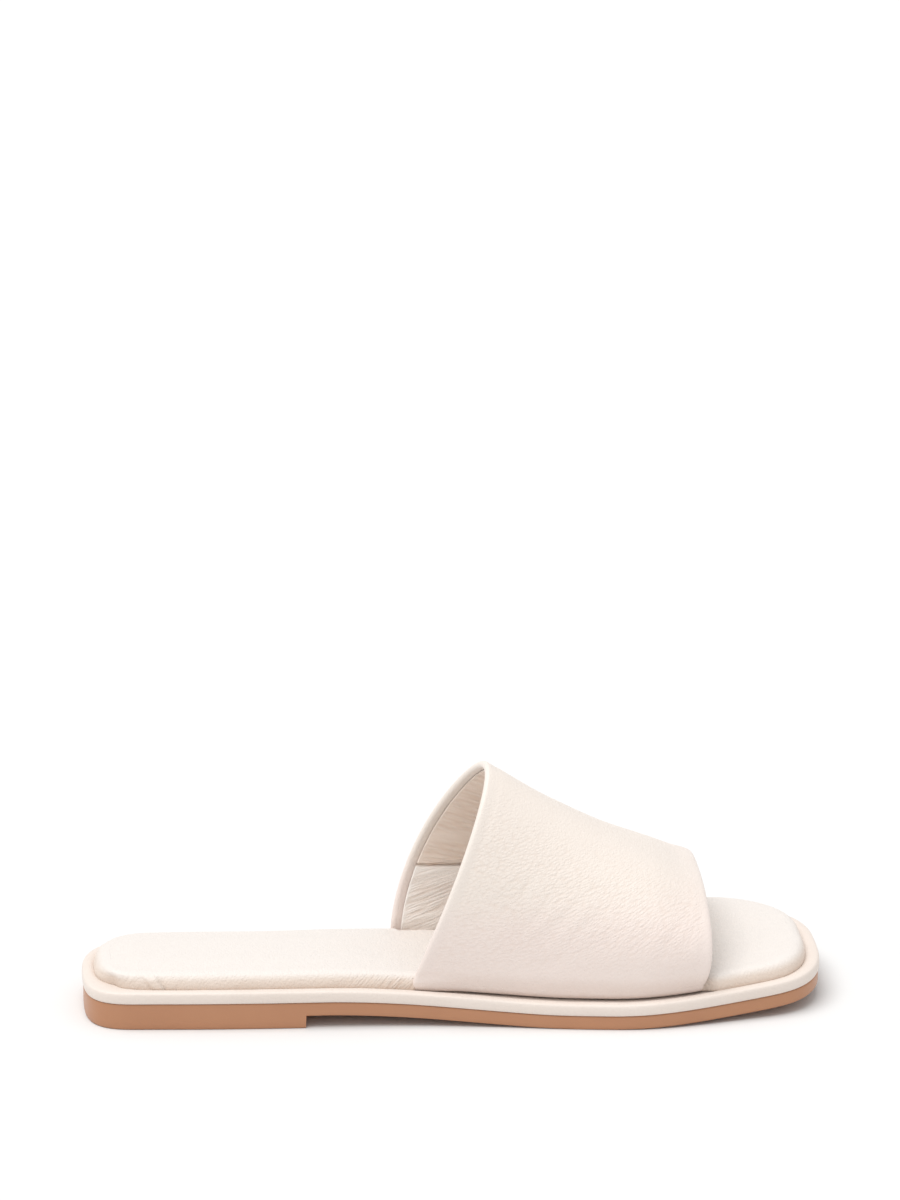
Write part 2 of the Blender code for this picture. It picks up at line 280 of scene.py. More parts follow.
def ring_at(inset, height):
    """The sole's edge moved in by an inset, at a height, each one value or one a point."""
    flat = EDGE + INWARD * np.broadcast_to(inset, RING_POINTS)[:, None]
    return np.column_stack([flat - MIDDLE, np.broadcast_to(height, RING_POINTS)])


def sole_shell(rings, under_columns, top_columns):
    """Points and faces of a closed form from rings that run up round its edge. Strips across
    the sole close it below and above. Last come the slices of the points that those strips
    have for themselves, below and above."""
    half = RING_POINTS // 2
    points = [np.concatenate(rings)]
    faces = []
    step = np.arange(RING_POINTS)
    after = np.roll(step, -1)
    for k in range(len(rings) - 1):
        low, high = k * RING_POINTS, (k + 1) * RING_POINTS
        faces += np.column_stack([low + step, low + after, high + after, high + step]).tolist()
    strips = []
    for first, columns, upward in ((0, under_columns, False), (len(rings) - 1, top_columns, True)):
        ring = rings[first]
        start = sum(len(block) for block in points)
        k = np.arange(1, half)
        share = np.arange(1, columns) / columns
        near, far = ring[k], ring[RING_POINTS - k]
        inner = near[:, None] + (far - near)[:, None] * share[None, :, None]
        points.append(inner.reshape(-1, 3))
        base = first * RING_POINTS
        table = np.empty((half + 1, columns + 1), int)
        table[:, 0] = base + np.arange(half + 1)
        table[:, -1] = base + (RING_POINTS - np.arange(half + 1)) % RING_POINTS
        own = start + np.arange((half - 1) * (columns - 1))
        table[1:half, 1:columns] = own.reshape(half - 1, -1)
        table[0, :] = table[0, 0]
        table[half, :] = table[half, 0]
        quads = np.stack([table[:-1, :-1], table[1:, :-1], table[1:, 1:], table[:-1, 1:]], axis=2)
        for quad in quads.reshape(-1, 4).tolist():
            corners = list(dict.fromkeys(quad))
            faces.append(corners if upward else corners[::-1])
        strips.append(slice(start, start + len(inner) * (columns - 1)))
    return np.concatenate(points), faces, strips


def distance_to_ring(points, ring):
    """How far each point lies from a ring, seen from above."""
    found = []
    for start in range(0, len(points), 2000):
        block = points[start : start + 2000, None, :2] - ring[None, ::2, :2]
        found.append(np.sqrt((block**2).sum(axis=2)).min(axis=1))
    return np.concatenate(found)


# Thermoplastic rubber, injection moulded: an even tan all through, satin where the steel mould
# was polished, with soft flow clouds. Its spark-eroded fine texture is drawn at 0.9 mm, coarser
# than real, so that it still shows.
outsole_rubber, tree, shader = new_material(
    "tan_moulded_rubber", Roughness=0.46, IOR=1.5, Coat_Weight=0.2, Coat_Roughness=0.25
)
place = add_node(tree, "ShaderNodeTexCoord")
flow = add_node(
    tree,
    "ShaderNodeTexNoise",
    {"Vector": place.outputs["Object"], "Scale": FLOW_CLOUDS_PER_M, "Detail": 4.0, "Distortion": 0.6},
)
tone = add_node(
    tree,
    "ShaderNodeMix",
    {0: flow.outputs["Fac"], 6: linear("#B07A57"), 7: linear("#BA8561")},
    data_type="RGBA",
)
tree.links.new(tone.outputs[2], shader.inputs["Base Color"])
fine = add_node(
    tree,
    "ShaderNodeTexNoise",
    {"Vector": place.outputs["Object"], "Scale": 1 / MOULD_TEXTURE, "Detail": 2.0},
)
satin = add_node(
    tree, "ShaderNodeMapRange", {"Value": flow.outputs["Fac"], "To Min": 0.40, "To Max": 0.54}
)
tree.links.new(satin.outputs["Result"], shader.inputs["Roughness"])
bump = add_node(
    tree,
    "ShaderNodeBump",
    {"Height": fine.outputs["Fac"], "Strength": 0.25, "Distance": 0.00008},
)
tree.links.new(bump.outputs["Normal"], shader.inputs["Normal"])

under = outsole_under(PLACES)
top = outsole_top(PLACES)
rings = [
    ring_at(OUTSOLE_INSET + TREAD_BORDER * share + OUTSOLE_BEVEL, under)
    for share in (1.0, 0.5, 0.06)
]
for turn in (0, 30, 60, 90):
    angle = math.radians(turn)
    inset = OUTSOLE_INSET + OUTSOLE_BEVEL * (1 - math.sin(angle))
    rings.append(ring_at(inset, under + OUTSOLE_BEVEL * (1 - math.cos(angle))))
wall_foot = under + OUTSOLE_BEVEL
for share in (0.25, 0.5, 0.75, 0.95):
    rings.append(ring_at(OUTSOLE_INSET, wall_foot + share * (top - wall_foot)))
rings.append(ring_at(OUTSOLE_INSET + TOP_EDGE, top))
points, faces, (under_strips, _) = sole_shell(rings, TREAD_COLUMNS, 2)
field = points[under_strips]
from_border = distance_to_ring(field, rings[0])
from_breast = np.abs(field[:, 0] - HEEL_BREAST + MIDDLE[0]) - TREAD_BORDER
field[:, 2] += TREAD_DEPTH * soft_step(from_border / TREAD_SLOPE) * soft_step(from_breast / TREAD_SLOPE)
outsole = make_object("outsole_moulding", points, faces, outsole_rubber)
outsole.data.set_sharp_from_angle(angle=math.radians(50))
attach(outsole, "root")
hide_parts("outsole")

# Cross ribs in the tread's sunk field, moulded with it. Each is a low bar that is trimmed to
# the field's width. One bar is set on a row of points and turned into a plain mesh.
rib_places = [
    x
    for x in np.arange(FIRST_RIB, SOLE_LENGTH - LAST_RIB_FROM_TOE, RIB_SPACING)
    if abs(x - HEEL_BREAST) > TREAD_BORDER + RIB_WIDTH
]
rib_room = ring_at(OUTSOLE_INSET + OUTSOLE_BEVEL + TREAD_BORDER + RIB_END_GAP, 0.0)
rib_points, rib_sizes = [], []
for x in rib_places:
    ends = []
    for side in (-1, 1):
        edge = rib_room[SIDES == side]
        order = np.argsort(edge[:, 0])
        ends.append(np.interp(x - MIDDLE[0], edge[order, 0], edge[order, 1]))
    if ends[1] - ends[0] > RIB_SHORTEST:
        rib_points.append((x - MIDDLE[0], (ends[0] + ends[1]) / 2, float(outsole_under(x))))
        rib_sizes.append((1.0, ends[1] - ends[0], 1.0))
row = bpy.data.meshes.new("rib_row")
row.from_pydata(rib_points, [], [])
sizes = row.attributes.new("rib_size", "FLOAT_VECTOR", "POINT")
sizes.data.foreach_set("vector", np.array(rib_sizes).ravel())
row_object = bpy.data.objects.new("rib_row", row)
bpy.context.scene.collection.objects.link(row_object)

group = bpy.data.node_groups.new("ribs_on_points", "GeometryNodeTree")
for label, kind, way in (
    ("Points", "NodeSocketGeometry", "INPUT"),
    ("Rib Width", "NodeSocketFloat", "INPUT"),
    ("Rib Height", "NodeSocketFloat", "INPUT"),
    ("Rubber", "NodeSocketMaterial", "INPUT"),
    ("Ribs", "NodeSocketGeometry", "OUTPUT"),
):
    group.interface.new_socket(label, in_out=way, socket_type=kind)
given = add_node(group, "NodeGroupInput")
rib_width, rib_height = given.outputs["Rib Width"], given.outputs["Rib Height"]
size = add_node(group, "ShaderNodeCombineXYZ", {0: rib_width, 1: 1.0, 2: rib_height})
bar = add_node(group, "GeometryNodeMeshCube", {"Size": size.outputs[0], "Vertices Y": 12})
raised = add_node(group, "ShaderNodeMath", {0: rib_height, 1: 0.5}, operation="MULTIPLY")
lift = add_node(group, "ShaderNodeCombineXYZ", {2: raised.outputs[0]})
seated = add_node(
    group, "GeometryNodeTransform", {"Geometry": bar.outputs["Mesh"], "Translation": lift.outputs[0]}
)
own_size = add_node(
    group, "GeometryNodeInputNamedAttribute", {"Name": "rib_size"}, data_type="FLOAT_VECTOR"
)
placed = add_node(
    group,
    "GeometryNodeInstanceOnPoints",
    {
        "Points": given.outputs["Points"],
        "Instance": seated.outputs["Geometry"],
        "Scale": own_size.outputs["Attribute"],
    },
)
real = add_node(group, "GeometryNodeRealizeInstances", {"Geometry": placed.outputs["Instances"]})
coated = add_node(
    group,
    "GeometryNodeSetMaterial",
    {"Geometry": real.outputs["Geometry"], "Material": given.outputs["Rubber"]},
)
add_node(group, "NodeGroupOutput", {0: coated.outputs["Geometry"]})
modifier = row_object.modifiers.new("ribs", "NODES")
modifier.node_group = group
values = {"Rib Width": RIB_WIDTH, "Rib Height": TREAD_DEPTH + RIB_ROOT, "Rubber": outsole_rubber}
for item in group.interface.items_tree:
    if item.in_out == "INPUT" and item.name in values:
        modifier[item.identifier] = values[item.name]
bpy.context.view_layer.update()
evaluated = row_object.evaluated_get(bpy.context.evaluated_depsgraph_get())
rib_mesh = bpy.data.meshes.new_from_object(evaluated)
bpy.data.objects.remove(row_object, do_unlink=True)
ribs = bpy.data.objects.new("tread_ribs", rib_mesh)
bpy.context.scene.collection.objects.link(ribs)
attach(ribs, "root")


# Midsole: a thin board plate wrapped in cream leather. The wrap is drawn over a soft cord at
# the edge, which makes the rounded roll that stands all round the footbed, wider at the outer
# heel corner, and is cemented under the plate.
GAP = 0.0003
PLATE_THICKNESS = 0.0029
ROLL_HEIGHT = 0.0041
ROLL_WIDTH = 0.0062
ROLL_STEPS = 26
HEEL_CORNER = 0.0044
HEEL_CORNER_REACH = 0.0104
HEEL_CORNER_CUT = 0.0034
HEEL_END = -0.1255
HEEL_END_GROWTH = 0.0010
HEEL_END_BLEND = 0.0025
RING_STEP = 0.00056
ROLL_SWELLS = [
    # share of the height, length in metres, seed
    (0.014, 0.011, 3),
    (0.010, 0.004, 4),
]
TONE_CLOUDS_PER_M = 45.0
PEBBLE_WARP_PER_M = 260.0
PEBBLE_WARP = 0.0009
PORES_PER_GRAIN = 2.2
FOLD_WANDER_PER_M = 130.0
FOLD_PATCHES_PER_M = 75.0
# Painted shade: the colour that darkens the bottoms of the small folds.
FOLD_SHADE_COLOR = "#DDC3AE"
ROLL_SECTION = [
    # round, in, up
    (0.000, 0.05, 0.00),
    (0.100, 0.01, 0.12),
    (0.220, 0.00, 0.36),
    (0.340, 0.01, 0.64),
    (0.440, 0.05, 0.86),
    (0.540, 0.15, 0.97),
    (0.680, 0.40, 1.00),
    (0.840, 0.64, 0.95),
    (1.000, 0.84, 0.84),
]


def add_folds(tree, tone, normal, wrinkles):
    """Small folds pressed into a leather's normal, darkened by painted shade, and a paler tone that
    is painted light. They follow the mesh's wrinkle map and its two shares. Gives the new colour and
    normal."""
    fold_width, fold_length, fold_depth, deeper, lit_tone = wrinkles
    surface = add_node(tree, "ShaderNodeUVMap", uv_map="wrinkles").outputs["UV"]
    wander = add_node(
        tree, "ShaderNodeTexNoise", {"Vector": surface, "Scale": FOLD_WANDER_PER_M, "Detail": 3.0}
    )
    bent = add_node(
        tree,
        "ShaderNodeVectorMath",
        {0: wander.outputs["Color"], 1: (fold_width, fold_width, 0.0), 2: surface},
        operation="MULTIPLY_ADD",
    )
    stretched = add_node(
        tree,
        "ShaderNodeMapping",
        {"Vector": bent.outputs["Vector"], "Scale": (1 / fold_width, 1 / fold_length, 1.0)},
    )
    break_lines = add_node(
        tree,
        "ShaderNodeTexVoronoi",
        {"Vector": stretched.outputs["Vector"], "Scale": 1.0, "Randomness": 1.0, "Smoothness": 0.7},
        feature="SMOOTH_F1",
        voronoi_dimensions="2D",
    )
    patches = add_node(
        tree, "ShaderNodeTexNoise", {"Vector": surface, "Scale": FOLD_PATCHES_PER_M, "Detail": 2.0}
    )
    patchy = add_node(
        tree,
        "ShaderNodeMapRange",
        {"Value": patches.outputs["Fac"], "From Min": 0.08, "From Max": 0.44},
    )
    share = add_node(tree, "ShaderNodeAttribute", attribute_name="fold_and_shade_share")
    kept = add_node(
        tree,
        "ShaderNodeMath",
        {0: share.outputs["Fac"], 1: patchy.outputs["Result"]},
        operation="MULTIPLY",
    )
    depth = add_node(
        tree,
        "ShaderNodeMath",
        {0: break_lines.outputs["Distance"], 1: kept.outputs[0]},
        operation="MULTIPLY",
    )
    folds = add_node(
        tree,
        "ShaderNodeBump",
        {"Height": depth.outputs[0], "Strength": 1.0, "Distance": -fold_depth, "Normal": normal},
    )
    # Painted light: a paler tone is mixed in where the mesh's map asks for it.
    painted_light = add_node(tree, "ShaderNodeAttribute", attribute_name="painted_light")
    painted_lit = add_node(
        tree,
        "ShaderNodeMix",
        {0: painted_light.outputs["Fac"], 6: tone, 7: linear(lit_tone)},
        data_type="RGBA",
    )
    # Painted shade: the folds' bottoms are darkened towards the fold shade colour.
    shade_amount = add_node(
        tree,
        "ShaderNodeMath",
        {0: depth.outputs[0], 1: deeper},
        operation="MULTIPLY",
        use_clamp=True,
    )
    fold_shaded = add_node(
        tree,
        "ShaderNodeMix",
        {0: shade_amount.outputs[0], 6: painted_lit.outputs[2], 7: linear(FOLD_SHADE_COLOR)},
        data_type="RGBA",
        blend_type="MULTIPLY",
    )
    return fold_shaded.outputs[2], folds.outputs["Normal"]


def leather_material(name, light, dark, grain_mm, grain, uneven, rough, wrinkles=None):
    """Cream leather with pebbled grain. grain and uneven are heights in metres. wrinkles are
    the width, length and depth of one small fold, how far painted shade darkens the folds, and
    the paler tone that is painted light."""
    material, tree, shader = new_material(
        name,
        IOR=1.46,
        Coat_Weight=0.03,
        Coat_Roughness=0.35,
        Sheen_Weight=0.04,
        Sheen_Roughness=0.4,
    )
    where = add_node(tree, "ShaderNodeTexCoord").outputs["Object"]
    clouds = add_node(
        tree,
        "ShaderNodeTexNoise",
        {"Vector": where, "Scale": TONE_CLOUDS_PER_M, "Detail": 5.0, "Roughness": 0.6},
    )
    warp = add_node(
        tree, "ShaderNodeTexNoise", {"Vector": where, "Scale": PEBBLE_WARP_PER_M, "Detail": 2.0}
    )
    shifted = add_node(
        tree,
        "ShaderNodeVectorMath",
        {0: warp.outputs["Color"], 1: (PEBBLE_WARP, PEBBLE_WARP, PEBBLE_WARP), 2: where},
        operation="MULTIPLY_ADD",
    )
    pebbles = add_node(
        tree,
        "ShaderNodeTexVoronoi",
        {"Vector": shifted.outputs["Vector"], "Scale": 1000 / grain_mm, "Smoothness": 0.6},
        feature="SMOOTH_F1",
    )
    pores = add_node(
        tree,
        "ShaderNodeTexNoise",
        {"Vector": where, "Scale": PORES_PER_GRAIN * 1000 / grain_mm, "Detail": 2.0},
    )
    grain_height = add_node(
        tree,
        "ShaderNodeMath",
        {0: pebbles.outputs["Distance"], 1: -1.0, 2: pores.outputs["Fac"]},
        operation="MULTIPLY_ADD",
    )
    soft = add_node(
        tree,
        "ShaderNodeBump",
        {"Height": clouds.outputs["Fac"], "Strength": 1.0, "Distance": uneven},
    )
    skin = add_node(
        tree,
        "ShaderNodeBump",
        {
            "Height": grain_height.outputs[0],
            "Strength": 1.0,
            "Distance": grain,
            "Normal": soft.outputs["Normal"],
        },
    )
    mixed = add_node(
        tree,
        "ShaderNodeMix",
        {0: clouds.outputs["Fac"], 6: linear(dark), 7: linear(light)},
        data_type="RGBA",
    )
    tone, normal = mixed.outputs[2], skin.outputs["Normal"]
    if wrinkles:
        tone, normal = add_folds(tree, tone, normal, wrinkles)
    gloss = add_node(
        tree,
        "ShaderNodeMapRange",
        {"Value": pebbles.outputs["Distance"], "To Min": rough - 0.06, "To Max": rough + 0.08},
    )
    tree.links.new(tone, shader.inputs["Base Color"])
    tree.links.new(gloss.outputs["Result"], shader.inputs["Roughness"])
    tree.links.new(normal, shader.inputs["Normal"])
    return material


# Wrap leather, split and finished smooth: drawn tight over the cord, so its grain is pulled
# nearly flat and it has a soft even shine. The grain of all four leathers is drawn at 0.7 to
# 0.9 mm, about twice as coarse as real, so that it still shows.
wrap_leather = leather_material(
    "smooth_wrap_leather",
    "#E8DDD4",
    "#E0D3C9",
    grain_mm=0.9,
    grain=0.00008,
    uneven=0.00012,
    rough=0.42,
)
# Inside, the roll widens at the outer heel corner, where the footbed is cut rounder than the
# sole. It narrows by 1 mm along the heel's end.
edge_x = EDGE[:, 0] - MIDDLE[0]
corner = EDGE[np.argmin(np.abs(PLACES - HEEL_CORNER) + (SIDES > 0))]
near_corner = np.exp(-((np.linalg.norm(EDGE - corner, axis=1) / HEEL_CORNER_REACH) ** 2))
grown = HEEL_END_GROWTH * soft_step((HEEL_END - edge_x) / HEEL_END_BLEND)
corner_cut = HEEL_CORNER_CUT * near_corner - grown * (1 - near_corner)
top = outsole_top(PLACES) + GAP
run = np.arange(RING_POINTS) * RING_STEP
swell = sum(part * soft_noise(run / length, run * 0, seed) for part, length, seed in ROLL_SWELLS)
rings = []
for step in range(ROLL_STEPS + 1):
    round_share = step / ROLL_STEPS
    inset = ROLL_WIDTH * through_table(ROLL_SECTION, round_share, 1)
    inset = inset + corner_cut * soft_step((round_share - 0.5) / 0.5)
    up = ROLL_HEIGHT * through_table(ROLL_SECTION, round_share, 2)
    rings.append(ring_at(inset, top + up * (1 + swell * round_share)))
rings.append(ring_at(ROLL_WIDTH + corner_cut, top + PLATE_THICKNESS))
points, faces, _ = sole_shell(rings, 2, 6)
roll = make_object("midsole_wrap", points, faces, wrap_leather)
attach(roll, "root")
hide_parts("midsole")


# Footbed: a 6 mm foam insole covered in cream leather, laid inside the roll and cemented to the
# plate. Its top edge is soft, its side is pressed in where the band passes, and the cover's end
# laps over itself in a low flap on the outer side of the heel.
FOOTBED_INSET = 0.0053
FOOTBED_THICKNESS = 0.0059
FOOTBED_EDGE = 0.0040
FOOTBED_CROWN = 0.0006
FOOTBED_STEPS = 24
FOOTBED_SECTION = [
    # round, in, up
    (0.00, 0.00, 0.00),
    (0.10, -0.05, 0.10),
    (0.22, -0.05, 0.26),
    (0.36, 0.02, 0.46),
    (0.52, 0.17, 0.68),
    (0.70, 0.46, 0.87),
    (0.88, 0.90, 0.968),
    (1.00, 1.20, 0.985),
]
BAND_INSET = 0.0068
BAND_TURN = 0.0024
BAND_WALL = 0.0026
MARGIN_WALL = 0.0012
MARGIN_REACH = 0.010
BAND_REAR = 0.1115
BAND_SKEW = 0.0036
BAND_FRONT = 0.2162
PINCH_REAR = 0.0012
PINCH_AHEAD = 0.0004
PINCH_FRONT = 0.006
SEAT_EDGE = 0.0002
INSTEP_RISE = 0.0727
BAND_REAR_CROWN = 0.1406
REAR_LEAN_POWER = {-1: 1.06, 1: 1.58}
FLAP_TOP = -0.1065
FLAP_SLANT = 0.0042
FLAP_WIDTH = 0.0044
FLAP_HEIGHT = 0.00055
FLAP_SLOPE = 0.0010
GROOVE_WIDTH = 0.0005
GROOVE_GAP = 0.0004
PUCKER_WIDTH = 0.0026
PUCKER_SLANT = 0.9
PUCKER_DEPTH = 0.00005
PUCKER_BY_BAND = 0.00010
PUCKER_BY_FLAP = 0.00009
NEAR_BAND_FROM = -0.052
NEAR_BAND_REACH = 0.034
NEAR_BAND_PAST = 0.006
NEAR_FLAP_REACH = 0.014
UNDERCUT = 0.0016
PAD_COLUMNS = 56
PAD_FULLNESS = 0.015
DENT_DEPTH = 0.00012
DENT_SIZE = (0.030, 0.022)
HIDDEN_BY_BAND = 0.0010
BAND_SECTIONS = [
    # along, rise, power, ledge, bulge
    (0.00, 1.000, 2.25, 0.87, 1.00),
    (0.21, 0.867, 2.26, 1.00, 0.90),
    (0.40, 0.755, 2.30, 1.05, 0.80),
    (0.58, 0.655, 2.38, 1.05, 0.70),
    (0.77, 0.554, 2.50, 1.03, 0.60),
    (0.91, 0.470, 2.60, 0.97, 0.55),
    (1.00, 0.430, 2.60, 0.93, 0.55),
]


def plate_top(x):
    return outsole_top(x) + GAP + PLATE_THICKNESS


def footbed_seat(x):
    return plate_top(x) + GAP


def rear_of(side):
    """Where the band's rear edge leaves the sole: further back on the medial side."""
    return BAND_REAR - side * BAND_SKEW / 2


def band_inset(place, side):
    along = (place - rear_of(side)) / (BAND_FRONT - rear_of(side))
    return BAND_INSET * through_table(BAND_SECTIONS, along, 3)


def rear_lean(height_share, side):
    """How far the band's rear edge has leant forward at a share of its full height."""
    return (BAND_REAR_CROWN - BAND_REAR) * height_share ** REAR_LEAN_POWER[side]


def add_wrinkle_map(obj, across, along, share, painted_light):
    """Maps an object's points for fine wrinkles: metres across and along them, and their share
    of the full depth and of the painted shade in them. The last is how far the leather takes a
    paler tone that is painted light. Both run from 0 to 1."""
    corners = np.empty(len(obj.data.loops), int)
    obj.data.loops.foreach_get("vertex_index", corners)
    flat = np.column_stack([across, along])
    obj.data.uv_layers.new(name="wrinkles").uv.foreach_set("vector", flat[corners].ravel())
    obj.data.attributes.new("fold_and_shade_share", "FLOAT", "POINT").data.foreach_set("value", share)
    obj.data.attributes.new("painted_light", "FLOAT", "POINT").data.foreach_set("value", painted_light)


# Footbed leather: full-grain, calm on top, with a fine grain and a dry matt finish. Its top
# and upper rounding are painted a paler, less warm tone as sheen and light falling there. It
# puckers in short slanting folds where its side is drawn round under the edge, with painted shade in
# them.
footbed_leather = leather_material(
    "footbed_cover_leather",
    "#E6D8CC",
    "#DECDBF",
    grain_mm=0.8,
    grain=0.00015,
    uneven=0.00012,
    rough=0.46,
    wrinkles=(0.0009, 0.0048, 0.00036, 0.42, "#E7E0DA"),
)
ring_rear = rear_of(SIDES)
taken = band_inset(PLACES, SIDES) + BAND_WALL / 2 + GAP - FOOTBED_INSET
pinch_front = soft_step((BAND_FRONT - PLACES) / PINCH_FRONT + 1)


def pad_side(height_share):
    """The inset of the pad's side: pressed in behind the band, as far as its edge leans."""
    lean = np.where(SIDES < 0, rear_lean(height_share, -1), rear_lean(height_share, 1))
    pinch = soft_step((PLACES - ring_rear - lean - PINCH_AHEAD) / PINCH_REAR) * pinch_front
    cut = corner_cut * (1 - (height_share * INSTEP_RISE / FOOTBED_THICKNESS) ** 2)
    return FOOTBED_INSET + cut + np.maximum(taken, 0) * pinch


side_inset = pad_side(0.0)
recessed = (PLACES > ring_rear + HIDDEN_BY_BAND) & (PLACES < BAND_FRONT - HIDDEN_BY_BAND)
seat = footbed_seat(PLACES)
under = seat + np.where(recessed, MARGIN_WALL + GAP, 0.0)
top = seat + FOOTBED_THICKNESS
behind_margin = band_inset(PLACES, SIDES) + BAND_TURN + MARGIN_REACH + GAP
cut_in = np.where(recessed, behind_margin, side_inset + UNDERCUT)
rings = [ring_at(cut_in + SEAT_EDGE, seat), ring_at(cut_in, under)]
near_band = soft_step((edge_x - NEAR_BAND_FROM) / NEAR_BAND_REACH)
near_band = near_band * (PLACES < ring_rear + NEAR_BAND_PAST)
near_flap = soft_step(1.2 - np.abs(edge_x - FLAP_TOP) / NEAR_FLAP_REACH)
pucker_depth = PUCKER_DEPTH + PUCKER_BY_BAND * near_band + PUCKER_BY_FLAP * near_flap
fold_and_shade_share = [np.zeros(RING_POINTS), np.zeros(RING_POINTS)]
painted_light = [np.zeros(RING_POINTS), np.zeros(RING_POINTS)]
across = [edge_x, edge_x]
for step in range(FOOTBED_STEPS + 1):
    round_share = step / FOOTBED_STEPS
    up = through_table(FOOTBED_SECTION, round_share, 2)
    inset = pad_side(up * FOOTBED_THICKNESS / INSTEP_RISE)
    inset = inset + FOOTBED_EDGE * through_table(FOOTBED_SECTION, round_share, 1)
    on_side = soft_step((0.94 - up) / 0.3) * soft_step(up / 0.12)
    slant = edge_x + SIDES * up * FOOTBED_THICKNESS * PUCKER_SLANT
    pucker = soft_noise(slant / PUCKER_WIDTH, up * 1.2 + 0 * slant, 11)
    from_flap_end = edge_x - FLAP_TOP - FLAP_SLANT * (1 - up)
    flap = soft_step((from_flap_end + FLAP_WIDTH) / FLAP_SLOPE) * (from_flap_end < 0)
    front_groove = np.exp(-(((from_flap_end - GROOVE_GAP) / GROOVE_WIDTH) ** 2))
    rear_groove = np.exp(-(((from_flap_end + FLAP_WIDTH + GROOVE_GAP) / GROOVE_WIDTH) ** 2))
    lapped = FLAP_HEIGHT * (0.7 * front_groove + 0.49 * rear_groove - flap) * (SIDES < 0)
    inset = inset + (pucker * pucker_depth + lapped) * on_side
    rings.append(ring_at(inset, under + up * (top - under)))
    across.append(slant)
    # The folds' share also sets how much painted shade darkens them.
    fold_and_shade_share.append((0.10 + 0.95 * near_band + 0.15 * near_flap) * on_side)
    # Painted light: the pad's upper rounding takes the paler tone, as sheen and light on its top.
    painted_light.append(np.full(RING_POINTS, soft_step((up - 0.45) / 0.53)))
points, faces, (_, top_strips) = sole_shell(rings, 2, PAD_COLUMNS)
# The top is pillowed just inside the rounded edge, crowned in the middle and a little uneven.
pad_top = points[top_strips]
from_round = distance_to_ring(pad_top, rings[2]) / FOOTBED_EDGE - FOOTBED_SECTION[-1][1]
fuller = FOOTBED_THICKNESS * PAD_FULLNESS * (1 - np.clip(1 - from_round / 0.8, 0, 1) ** 2)
crown = FOOTBED_CROWN * soft_step(from_round / 2.6)
dents = DENT_DEPTH * soft_noise(pad_top[:, 0] / DENT_SIZE[0], pad_top[:, 1] / DENT_SIZE[1], 21)
pad_top[:, 2] += fuller + crown + dents * soft_step(from_round)
pad = make_object("footbed_pad", points, faces, footbed_leather)
on_strips = np.zeros(len(points) - len(rings) * RING_POINTS)
# The pad's top strips take the paler tone fully: painted light.
add_wrinkle_map(
    pad,
    np.concatenate([*across, on_strips]),
    points[:, 2],
    np.concatenate([*fold_and_shade_share, on_strips]),
    np.concatenate([*painted_light, on_strips + 1]),
)
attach(pad, "root")
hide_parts("footbed")


# Band, outer layer: one piece of soft cream nappa over a thin padding. Along its rear and front
# edges it is folded in by 3 mm, a hem that shows inside, and at both sides it is turned under
# the footbed.
WALL_GROWTH = 0.006
BAND_FRONT_CROWN = 0.2186
BAND_FRONT_BULGE = 0.0017
BAND_SIDE_BULGE = 0.0045
FRONT_DROOP = 0.0013
DROOP_START = 0.945
OUTER_FACE = 0.50
OUTER_BACK = -0.17
LINING_FACE = -0.26
LINING_BACK = -0.52
MARGIN_COLUMNS = 3
TURN_COLUMNS = 8
PATH_SAMPLES = 500
SLOPE_STEP = 0.0005
BACK_STEP = 4
HEM_BACK = -0.50
HEM_FLAT_BACK = -0.42
HEM_TURN = 0.0016
HEM_ROWS = 8
HEM_REAR = 0.0029
HEM_FRONT = 0.0030
EDGE_TURNS_DEG = (6, 20, 35, 50, 65, 80)
EDGE_SOFTNESS = (1.0, 1.9)
EDGE_CLEARANCE = 1.15
FOOT_TOP = 0.017
FOOT_PRESS = 0.0007
FOOT_PRESS_REACH = 0.016
CROWN_BLEND = 0.024
WAVE_HEIGHT = 0.00018
RIPPLE_HEIGHT = 0.00008
EDGE_PULL = 0.00012
EDGE_PULL_AT = 0.0042
EDGE_PULL_REACH = 0.0026
EDGE_CALM = 0.0050
FAN_CENTRE = (-0.100, 0.111)
FAN_RADIUS = 0.22
CREASES = [
    # x, z, slant in degrees, half length, half width, height, all but the slant in mm
    (28.0, 41.0, 42, 9.0, 1.6, -0.096),
    (31.5, 38.5, 44, 10.0, 1.5, 0.072),
    (35.0, 37.0, 40, 11.0, 1.7, -0.108),
    (39.0, 35.5, 46, 9.0, 1.6, 0.072),
    (43.0, 34.5, 43, 10.0, 1.8, -0.084),
    (22.0, 47.0, 38, 9.0, 1.5, -0.072),
    (18.0, 51.0, 35, 8.0, 1.4, 0.048),
    (14.5, 47.5, 33, 7.0, 1.3, -0.060),
    (9.5, 44.0, 30, 7.0, 1.4, 0.048),
    (5.0, 38.0, 33, 6.0, 1.4, -0.054),
    (50.0, 30.5, 38, 9.0, 1.9, -0.078),
    (57.0, 27.5, 42, 8.0, 1.7, 0.060),
    (62.0, 30.0, 45, 9.0, 1.8, -0.084),
    (68.0, 29.0, 50, 9.0, 1.6, 0.060),
    (74.0, 31.0, 52, 8.0, 1.6, -0.072),
    (80.0, 30.0, 50, 7.0, 1.5, -0.072),
    (84.5, 31.0, 54, 6.0, 1.3, 0.048),
    (33.0, 24.0, 28, 12.0, 2.4, -0.072),
    (55.0, 20.0, 20, 14.0, 2.6, -0.060),
]


